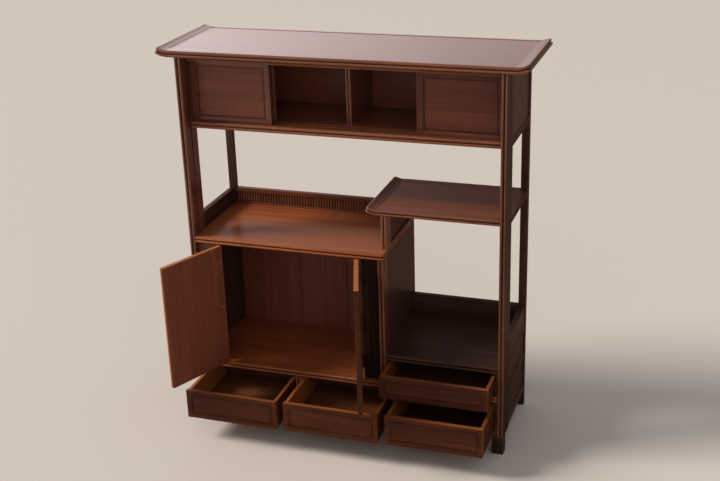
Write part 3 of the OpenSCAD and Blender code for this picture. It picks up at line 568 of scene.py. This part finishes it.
# %% Dress the plain wooden pieces
PLAIN = [
    (red_rosewood, """top_rails top_end_left top_end_right top_panel post_front_left
        post_front_right post_mid_front strut_upper upper_floor upper_head partition
        gallery_back gallery_slats stagger_end stagger_frame strip_left
        drawer_dividers slide_frame_1 slide_frame_2 slide_frame_3 slide_frame_4"""),
    # on cabinet_floor the amber finish is partly painted light
    (amber_rosewood, "left_shelf stagger_panel cabinet_floor"),
    # strip_right is in the dark finish as painted shade
    (dark_rosewood, """post_rear_left post_rear_right feet_front post_mid_rear upper_sides
        gallery_left stagger_gallery cabinet_side_left cabinet_side_right side_lower_right
        strip_right niche_floor niche_back niche_side base_rails"""),
    (shaded_drawer_wood, "drawer_runners"),
    (veneer, """upper_back cabinet_back drawer_backs slide_panel_1 slide_panel_2
        slide_panel_3 slide_panel_4"""),
]
PLAIN_SPREAD = 0.05
boards = 0
for finish, names in PLAIN:
    for node in names.split():
        bm, rubbed = eased(node)
        boards += mark_grain(bm, node, rubbed, PLAIN_SPREAD)
        for face in bm.faces:
            # the dark finish on the outer sides of the front posts is painted shade
            face.material_index = int(is_side_rail(node, face) or is_outer_side(node, face))
        finish_piece(bm, node + "_boards", body_of[node], slot_of[node],
                     [finish, dark_rosewood], [node])
print("boards dressed:", boards)

# %% [markdown]
# ## Doors
#
# A hinged door is lacquered like the carcass on its moulded outer face. Inside it is plain veneer.
# Its top and bottom edges are lipped with lighter solid wood, and on the top edges that lightness is also painted
# light, for the light falling from above. The outer half of the left door's upright edges is lipped too, and it
# shows as an orange line. Their inner half is dark. The right door's upright edges are dark all over, as painted
# shade. The strips could be thin boards glued on, but the door would grow by them. It is one solid, so its edges
# are cut along the middle of their thickness with a plane, and where a face lies tells its wood.
#
# The doors stand open, so each is first turned back to lie square to the axes. The frame knows by
# how much: a door's range of turn is counted from the open pose, and its lower limit is shut.

# %% Turn the doors square
shut_by = {joint["child"]: -joint["range_deg"][0] for joint in frame["joints"]
           if joint["type"] == "hinge"}
# turned like this, each door has its hinge edge at the lower x
DOOR_TURN = {"door_left": math.radians(shut_by["left_door"]),
             "door_right": math.radians(180 - shut_by["right_door"])}
print("the doors stand open by, in degrees:", shut_by)

# %% Dress the doors
AT_EDGE = 0.3 * MM
INNER_SKIN = 1 * MM
DOOR_SPREAD = 0.03
DOOR_WOODS = [red_rosewood, veneer, lipping_with_painted_light, brown_rosewood]
OUTSIDE, INSIDE, LIGHT_STRIP, DARK_STRIP = range(4)


def split_door(node, turn):
    bm, rubbed = eased(node)
    mark_grain(bm, node, rubbed, DOOR_SPREAD)
    square = Matrix.Rotation(turn, 3, "Z")
    back = square.inverted()
    corners = [square @ v.co for v in bm.verts]
    low = [min(c[i] for c in corners) for i in range(3)]
    high = [max(c[i] for c in corners) for i in range(3)]

    def at_edge(face):
        centre = square @ face.calc_center_median()
        return min(min(centre[i] - low[i], high[i] - centre[i]) for i in (0, 2)) < AT_EDGE

    lipped = [f for f in bm.faces if at_edge(f)]
    parts = set(lipped).union(*(f.edges for f in lipped), *(f.verts for f in lipped))
    middle = (low[1] + high[1]) / 2
    bmesh.ops.bisect_plane(bm, geom=list(parts), plane_co=back @ Vector((0, middle, 0)),
                           plane_no=back @ Vector((0, 1, 0)))
    outward = -1 if node == "door_left" else 1
    inner = high[1] if outward < 0 else low[1]
    for face in bm.faces:
        centre = square @ face.calc_center_median()
        if at_edge(face):
            # top edges are lighter also as painted light; the right door's upright edges are dark as painted shade
            level = abs(face.normal.z) > FACING
            light = node == "door_left" and (centre.y - middle) * outward > 0
            face.material_index = LIGHT_STRIP if level or light else DARK_STRIP
        else:
            inside = abs(centre.y - inner) < INNER_SKIN
            face.material_index = INSIDE if inside else OUTSIDE
    return finish_piece(bm, node + "_boards", body_of[node], "door_veneer", DOOR_WOODS, [node])


for node, turn in DOOR_TURN.items():
    door = split_door(node, turn)
    print(door.name, "faces:", len(door.data.polygons))

# %% [markdown]
# ## Drawers
#
# A drawer front is lacquered in front, and plain varnished wood on its top edge and inside. The box behind it is
# orange brown inside and on its rim, browner on its outer sides, and dark on its bottom and on the inner face of
# its back, which is painted shade. A mask could be painted for each finish, but where a face lies and where it
# points already tell which one it has.

# %% Dress the drawer fronts
DRAWERS = ("left", "middle", "right", "upper")
DRAWER_SPREAD = 0.04
MOULDING_DEEP = 2.6 * MM
LACQUERED, VARNISHED = range(2)

for drawer in DRAWERS:
    node = "drawer_front_" + drawer
    bm, rubbed = eased(node)
    mark_grain(bm, node, rubbed, DRAWER_SPREAD)
    front = min(v.co.y for v in bm.verts)
    for face in bm.faces:
        behind = face.calc_center_median().y - front
        face.material_index = VARNISHED if behind > MOULDING_DEEP else LACQUERED
    # the brown lacquered fronts are darker also as painted shade
    finish_piece(bm, node + "_boards", body_of[node], "red_lacquer",
                 [brown_rosewood, drawer_wood], [node])
print("drawer fronts dressed:", len(DRAWERS))

# %% Dress the drawer boxes
BELOW_RIM = 6 * MM
PLANED, SHADED_INSIDE, OUTER = range(3)

for drawer in DRAWERS:
    node = "drawer_box_" + drawer
    bm, rubbed = eased(node)
    mark_grain(bm, node, rubbed, DRAWER_SPREAD)
    low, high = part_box(node)
    for face in bm.faces:
        centre = face.calc_center_median()
        at_side = min(centre.x - low.x, high.x - centre.x) < AT_EDGE
        sunk = high.z - centre.z > BELOW_RIM
        faces_front = face.normal.y < -FACING
        if at_side:
            face.material_index = OUTER
        # bottoms and inner faces of the backs get the dark wood as painted shade
        elif sunk and (faces_front or abs(face.normal.z) > FACING):
            face.material_index = SHADED_INSIDE
        else:
            face.material_index = PLANED
    finish_piece(bm, node + "_boards", body_of[node], slot_of[node],
                 [drawer_wood, shaded_drawer_wood, brown_rosewood], [node])
    print(node, "measures, in mm:", [round(c / MM) for c in high - low])

# %% [markdown]
# ## Hinges and their screws
#
# A butt hinge is let in between the edge of the door and the stile, and two countersunk screws
# hold each of its leaves. The slot of the screw is what tells a screw from a rivet. It could be
# drawn by a bump, but cut into the mesh it stays a real slot from any side: two planes mark its
# sides on the round head, and the strip between them is pushed in. A round screw head also shows
# on the inner face of each door, a little above the middle of each hinge.

# %% Make a screw head
HEAD_FACETS = 20
HEAD_TOP = 0.84
SLOT_DEEP = 0.6
SLOT_WALL = 0.02 * MM
UPWARD = 0.9


def screw_head(radius, proud):
    bm = bmesh.new()
    bmesh.ops.create_circle(bm, segments=HEAD_FACETS, radius=radius, cap_ends=True)
    raised = bmesh.ops.extrude_face_region(bm, geom=bm.faces[:])["geom"]
    rim = [v for v in raised if isinstance(v, bmesh.types.BMVert)]
    bmesh.ops.translate(bm, verts=rim, vec=(0, 0, proud))
    bmesh.ops.scale(bm, verts=rim, vec=(HEAD_TOP, HEAD_TOP, 1))
    bmesh.ops.recalc_face_normals(bm, faces=bm.faces)
    # the slot is two sevenths of the radius wide
    half_slot = radius / 7
    for side in (-1, 1):
        bmesh.ops.bisect_plane(bm, geom=bm.verts[:] + bm.edges[:] + bm.faces[:],
                               plane_co=(0, side * half_slot, 0), plane_no=(0, 1, 0))
    slot = [f for f in bm.faces
            if f.normal.z > UPWARD and abs(f.calc_center_median().y) < half_slot]
    bmesh.ops.inset_region(bm, faces=slot, thickness=SLOT_WALL, depth=-SLOT_DEEP * proud)
    head = bpy.data.meshes.new("screw head")
    bm.to_mesh(head)
    bm.free()
    return head


flush_head = screw_head(radius=1.8 * MM, proud=0.15 * MM)
round_head = screw_head(radius=2.4 * MM, proud=0.7 * MM)
print("a screw head has", len(round_head.polygons), "faces")

# %% [markdown]
# The places of the screws could be typed in, but the leaves already tell them. The two largest
# faces of a leaf are its plates. One lies on the wood. The free one looks away from the door, or
# for a leaf on the stile towards the opening, and takes the screws. The round heads go on the
# inner face of the door, a fixed way in from its hinge edge.

# %% Find the places of the screws
SCREWS_APART = 24 * MM
FROM_HINGE_EDGE = 12 * MM
ABOVE_HINGE = 7.3 * MM


def leaf_screws(bm, door, middle):
    places, levels = [], []
    for leaf in boards_of(bm):
        plates = sorted(leaf, key=lambda f: f.calc_area())[-2:]
        plates.sort(key=lambda f: f.normal.dot(f.calc_center_bounds() - middle))
        free = plates[-1 if door else 0]
        centre = free.calc_center_bounds()
        levels.append(centre.z)
        places += [(centre + Vector((0, 0, step)), free.normal.copy())
                   for step in (-SCREWS_APART / 2, SCREWS_APART / 2)]
    return sorted(places, key=lambda p: tuple(p[0])), sorted(levels)


def door_screws(door, levels):
    square = Matrix.Rotation(DOOR_TURN[door], 3, "Z")
    back = square.inverted()
    corners = [square @ v.co for v in frame["nodes"][door].data.vertices]
    hinge_x = min(c.x for c in corners) + FROM_HINGE_EDGE
    inward = 1 if door == "door_left" else -1
    inner_y = inward * max(inward * c.y for c in corners)
    return [(back @ Vector((hinge_x, inner_y, z + ABOVE_HINGE)), back @ Vector((0, inward, 0)))
            for z in levels]


print("two screws of a leaf stand", round(SCREWS_APART / MM), "mm apart")

# %% Dress the hinges and drive the screws
LEAF_ARRIS = 0.15 * MM


def drive(name, body, places, head, metal):
    chance = random.Random(name)
    bm = bmesh.new()
    for place, outward in places:
        known = set(bm.verts)
        bm.from_mesh(head)
        turn = Matrix.Rotation(chance.uniform(0, math.pi), 4, "Z")
        lie = outward.to_track_quat("Z", "Y").to_matrix().to_4x4()
        bmesh.ops.transform(bm, matrix=Matrix.Translation(place) @ lie @ turn,
                            verts=[v for v in bm.verts if v not in known])
    finish_piece(bm, name, body, "hinge_brass", [metal], None)
    print(name + ":", len(places))


for node, door in (("hinge_leaves_fixed", None), ("hinge_leaves_left", "door_left"),
                   ("hinge_leaves_right", "door_right")):
    bm, _ = eased(node, arris=LEAF_ARRIS)
    low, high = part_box(door or node)
    places, levels = leaf_screws(bm, door, (low + high) / 2)
    finish_piece(bm, node + "_brass", body_of[node], "hinge_brass", [hinge_brass], [node])
    drive(node + "_screws", body_of[node], places, flush_head, hinge_brass)
    if door:
        drive(door + "_screws", body_of[node], door_screws(door, levels), round_head,
              wiped_and_highlit_brass)

# %% [markdown]
# ## The floor
#
# A plain pale floor catches the shadow. One flat colour would do for the camera, but the lacquer
# mirrors the floor too, and so much paleness would make it look milky. So gloss sees a browner
# floor than the camera does. At the left, where the main light comes from, it is bright: that
# draws the fine light lines along the beads of the posts.

# %% Lay the floor
FLOOR_REACH = 12
SHADED_X, SUNLIT_X = -1.0, -1.9

bm = bmesh.new()
bmesh.ops.create_grid(bm, x_segments=1, y_segments=1, size=FLOOR_REACH)
floor_mesh = bpy.data.meshes.new("floor")
bm.to_mesh(floor_mesh)
bm.free()
floor = bpy.data.objects.new("floor", floor_mesh)
bpy.context.scene.collection.objects.link(floor)
floor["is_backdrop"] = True
print("the floor reaches", FLOOR_REACH, "m to each side")

# %% Paint the floor
floor_paint, tree = new_material("pale matt floor")
sideways = add(tree, "SeparateXYZ", {"Vector": add(tree, "TexCoord").outputs["Object"]})
sunlit = add(tree, "MapRange", {"Value": sideways.outputs["X"], "From Min": SHADED_X,
                                "From Max": SUNLIT_X})
glossed = add(tree, "Mix", {"Factor": sunlit.outputs[0], "A": linear("#7d624c"),
                            "B": linear("#fff2e8")}, data_type="RGBA")
mirrored = add(tree, "LightPath").outputs["Is Glossy Ray"]
paint = add(tree, "Mix", {"Factor": mirrored, "A": linear("#dfd6cc"),
                          "B": glossed.outputs["Result"]}, data_type="RGBA")
shader = add(tree, "BsdfPrincipled", {"Base Color": paint.outputs["Result"], "Roughness": 0.75})
add(tree, "OutputMaterial", {"Surface": shader.outputs[0]})
floor_mesh.materials.append(floor_paint)
print("floor:", floor_paint.name)

# %% [markdown]
# ## The lamps
#
# The light is soft daylight: the main light comes from the left, and a weak fill from the right,
# so that the right side stays dark. Both are suns with a wide angle. Area lamps would be softer
# still, but a sun lights every place alike. The upper faces have a sheen of their own, stronger at
# the left than at the right. An area lamp that the camera and diffuse light don't see gives it.


# %% Hang the lamps
def aim(lamp, place, target):
    lamp.location = place
    lamp.rotation_euler = (Vector(place) - Vector(target)).to_track_quat("Z", "Y").to_euler()
    bpy.context.scene.collection.objects.link(lamp)
    print(lamp.name, "shines from", place)


def daylight(name, place, strength, soft_degrees, tint):
    light = bpy.data.lights.new(name, "SUN")
    light.energy = strength
    light.angle = math.radians(soft_degrees)
    light.color = linear(tint)[:3]
    aim(bpy.data.objects.new(name, light), place, (0, 0, 0))


def gloss_panel(name, place, target, wide, high, watts, tint):
    light = bpy.data.lights.new(name, "AREA")
    light.shape = "RECTANGLE"
    light.size, light.size_y = wide, high
    light.energy = watts
    light.color = linear(tint)[:3]
    light.use_nodes = True
    tree = light.node_tree
    tree.nodes.clear()
    across = add(tree, "SeparateXYZ", {"Vector": add(tree, "NewGeometry").outputs["Parametric"]})
    fade = add(tree, "MapRange", {"Value": across.outputs["X"], "To Min": 0.55, "To Max": 1.25})
    glow = add(tree, "Emission", {"Strength": fade.outputs[0]})
    add(tree, "OutputLight", {"Surface": glow.outputs[0]})
    lamp = bpy.data.objects.new(name, light)
    lamp.visible_camera = False
    lamp.visible_diffuse = False
    aim(lamp, place, target)


daylight("main light", place=(-3.3, -1.1, 2.9), strength=2.6, soft_degrees=20, tint="#fff8f0")
daylight("fill", place=(1.0, -2.6, 1.5), strength=0.35, soft_degrees=60, tint="#fdf4f0")
gloss_panel("upper sheen", place=(-0.25, 0.6, 1.27), target=(-0.15, 0.0, 1.12), wide=1.6,
            high=0.28, watts=1.6, tint="#fff0ee")

# %% [markdown]
# ## The sky around it
#
# A shiny thing needs something to mirror. A picture could be wrapped round the scene, but a few
# plain tones are enough and stay easy to change. The sky is dim for diffuse light. Gloss and glass
# see it bright at the left and behind, and dark elsewhere. The camera sees it pale.

# %% Set the sky around it
BRIGHT_SIDE = (-0.92, 0.38, 0.0)
DARK_GLOSS, BRIGHT_GLOSS = 0.07, 0.75
DIFFUSE_SKY, CAMERA_SKY = 0.36, 0.85

world = bpy.data.worlds.new("sky")
bpy.context.scene.world = world
world.use_nodes = True
tree = world.node_tree
tree.nodes.clear()
path = add(tree, "LightPath")
seen = add(tree, "Math", {0: path.outputs["Is Glossy Ray"],
                          1: path.outputs["Is Transmission Ray"]}, operation="MAXIMUM")
direction = add(tree, "TexCoord").outputs["Generated"]
towards = add(tree, "VectorMath", {0: direction, 1: BRIGHT_SIDE}, operation="DOT_PRODUCT")
mirrored = add(tree, "MapRange", {"Value": towards.outputs["Value"], "From Min": 0.5,
                                  "From Max": 0.9, "To Min": DARK_GLOSS, "To Max": BRIGHT_GLOSS},
               interpolation_type="SMOOTHSTEP")
dim = add(tree, "Background", {"Color": linear("#f2f0f4"), "Strength": DIFFUSE_SKY})
pale = add(tree, "Background", {"Color": linear("#f4f0ee"), "Strength": CAMERA_SKY})
gloss = add(tree, "Background", {"Color": linear("#f6efec"), "Strength": mirrored.outputs[0]})
sky = add(tree, "MixShader", {0: seen.outputs[0], 1: dim.outputs[0], 2: gloss.outputs[0]})
sky = add(tree, "MixShader", {0: path.outputs["Is Camera Ray"], 1: sky.outputs[0],
                              2: pale.outputs[0]})
add(tree, "OutputWorld", {"Surface": sky.outputs[0]})
print("sky:", len(tree.nodes), "nodes")

# %% [markdown]
# ## Last measurements
#
# The dressed cabinet has to be as big as the built one, so its size is measured and printed.

# %% Measure and finish
low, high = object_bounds()
print("dressed cabinet, in mm:", [round(c / MM, 1) for c in high - low])
